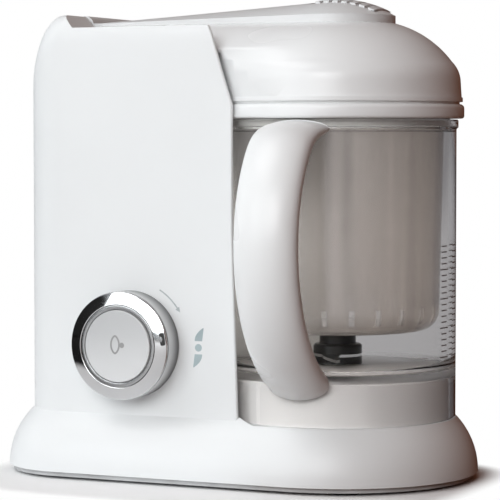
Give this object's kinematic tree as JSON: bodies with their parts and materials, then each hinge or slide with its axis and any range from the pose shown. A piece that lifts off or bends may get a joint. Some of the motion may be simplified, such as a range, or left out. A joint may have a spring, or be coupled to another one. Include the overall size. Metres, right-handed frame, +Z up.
{
  "type": "baby food maker",
  "caption": "White steam-and-blend baby food maker: a flared base and boiler column, a clear jug with handle, basket and blade, a hinged domed lid and a chrome knob with a button.",
  "frame": {"origin": "on the table under the middle of the whole outline", "axes": "+X to the right, from the boiler column to the jug; +Y to the back, away from the knob and the handle; +Z up"},
  "size_m": [0.249, 0.1887, 0.2509],
  "materials": {
    "housing_white": "satin",
    "lid_white": "satin",
    "bar_white": "satin",
    "inner_white": "satin",
    "bowl_clear": "clear gloss",
    "basket_frosted": "frosted",
    "knob_chrome": "polished",
    "button_silver": "brushed",
    "bezel_silver": "polished",
    "blade_steel": "polished",
    "hub_black": "satin",
    "seal_silicone": "matte",
    "foot_rubber": "matte",
    "cover_grey": "matte",
    "inner_black": "matte",
    "belt_rubber": "matte",
    "boiler_steel": "brushed",
    "heater_alloy": "cast",
    "motor_steel": "zinc plated",
    "screw_steel": "zinc plated",
    "bush_bronze": "sintered",
    "board_green": "lacquered"
  },
  "bodies": {
    "base": {"housing": "housing_white", "deck_plate": "housing_white", "bowl_pedestal": "housing_white", "pedestal_screws": "screw_steel", "bottom_cover": "cover_grey", "rubber_feet": "foot_rubber", "cover_screws": "screw_steel", "motor_bracket": "motor_steel", "bracket_screws": "screw_steel", "motor_screws": "screw_steel", "motor_can": "motor_steel", "motor_end_cap": "inner_black", "drive_belt": "belt_rubber", "spindle_bushes": "bush_bronze", "hinge_pin": "motor_steel", "selector_switch": "inner_black", "boiler_cup": "boiler_steel", "boiler_screws": "screw_steel", "boiler_gasket": "seal_silicone", "boiler_heater": "heater_alloy", "thermostat": "motor_steel", "thermal_fuse": "motor_steel", "control_board": "board_green", "board_screws": "screw_steel", "board_relay": "inner_black", "board_capacitor": "heater_alloy", "lid_switch": "inner_black", "cord_inlet": "foot_rubber"},
    "motor_rotor": {"motor_armature": "motor_steel", "motor_shaft": "motor_steel", "motor_pulley": "inner_black"},
    "drive": {"drive_pulley": "inner_black", "drive_spindle": "motor_steel", "drive_coupling": "inner_black", "blade_coupling": "hub_black", "blade_shaft": "blade_steel", "blade_hub": "hub_black", "blade": "blade_steel"},
    "jug": {"bowl": "bowl_clear", "bowl_bush": "hub_black", "bowl_seal": "seal_silicone", "bowl_handle": "lid_white", "steam_basket": "basket_frosted"},
    "lid": {"lid_dome": "lid_white", "lid_ring": "lid_white", "lid_inner_plate": "inner_white", "lid_seal": "seal_silicone", "steam_plate": "inner_white", "lid_bar": "bar_white", "latch_spring": "screw_steel"},
    "latch": {"latch_slider": "bar_white", "latch_strip": "inner_white"},
    "knob": {"knob_ring": "knob_chrome", "knob_hub": "inner_black", "button_bezel": "bezel_silver", "button_spring": "screw_steel"},
    "button": {"button_cap": "button_silver"}
  },
  "joints": [
    {"name": "lid_hinge", "type": "hinge", "parent": "base", "child": "lid", "pos_m": [-0.0835, 0.02027, 0.2385], "axis": [0, -1, 0], "range_deg": [0, 95]},
    {"name": "jug_twist", "type": "hinge", "parent": "base", "child": "jug", "pos_m": [0.0505, 0.02027, 0.0327], "axis": [0, 0, 1], "range_deg": [0, 30]},
    {"name": "knob_turn", "type": "hinge", "parent": "base", "child": "knob", "pos_m": [-0.0405, -0.04023, 0.0715], "axis": [0, 1, 0], "range_deg": [0, 40], "stiffness_Nm_per_rad": 0.2},
    {"name": "button_press", "type": "slide", "parent": "knob", "child": "button", "axis": [0, 1, 0], "range_m": [0, 0.0025], "stiffness_N_per_m": 900, "deforming": ["button_spring"]},
    {"name": "latch_slide", "type": "slide", "parent": "lid", "child": "latch", "axis": [-1, 0, 0], "range_m": [0, 0.004], "stiffness_N_per_m": 400, "deforming": ["latch_spring"]},
    {"name": "motor_spin", "type": "hinge", "parent": "base", "child": "motor_rotor", "pos_m": [-0.0615, 0.02027, 0.03], "axis": [0, 0, 1], "continuous": true},
    {"name": "blade_spin", "type": "hinge", "parent": "base", "child": "drive", "pos_m": [0.0505, 0.02027, 0.03], "axis": [0, 0, 1], "continuous": true}
  ],
  "couplings": [
    {"joint": "blade_spin", "follows": "motor_spin", "ratio": 0.37037}
  ]
}
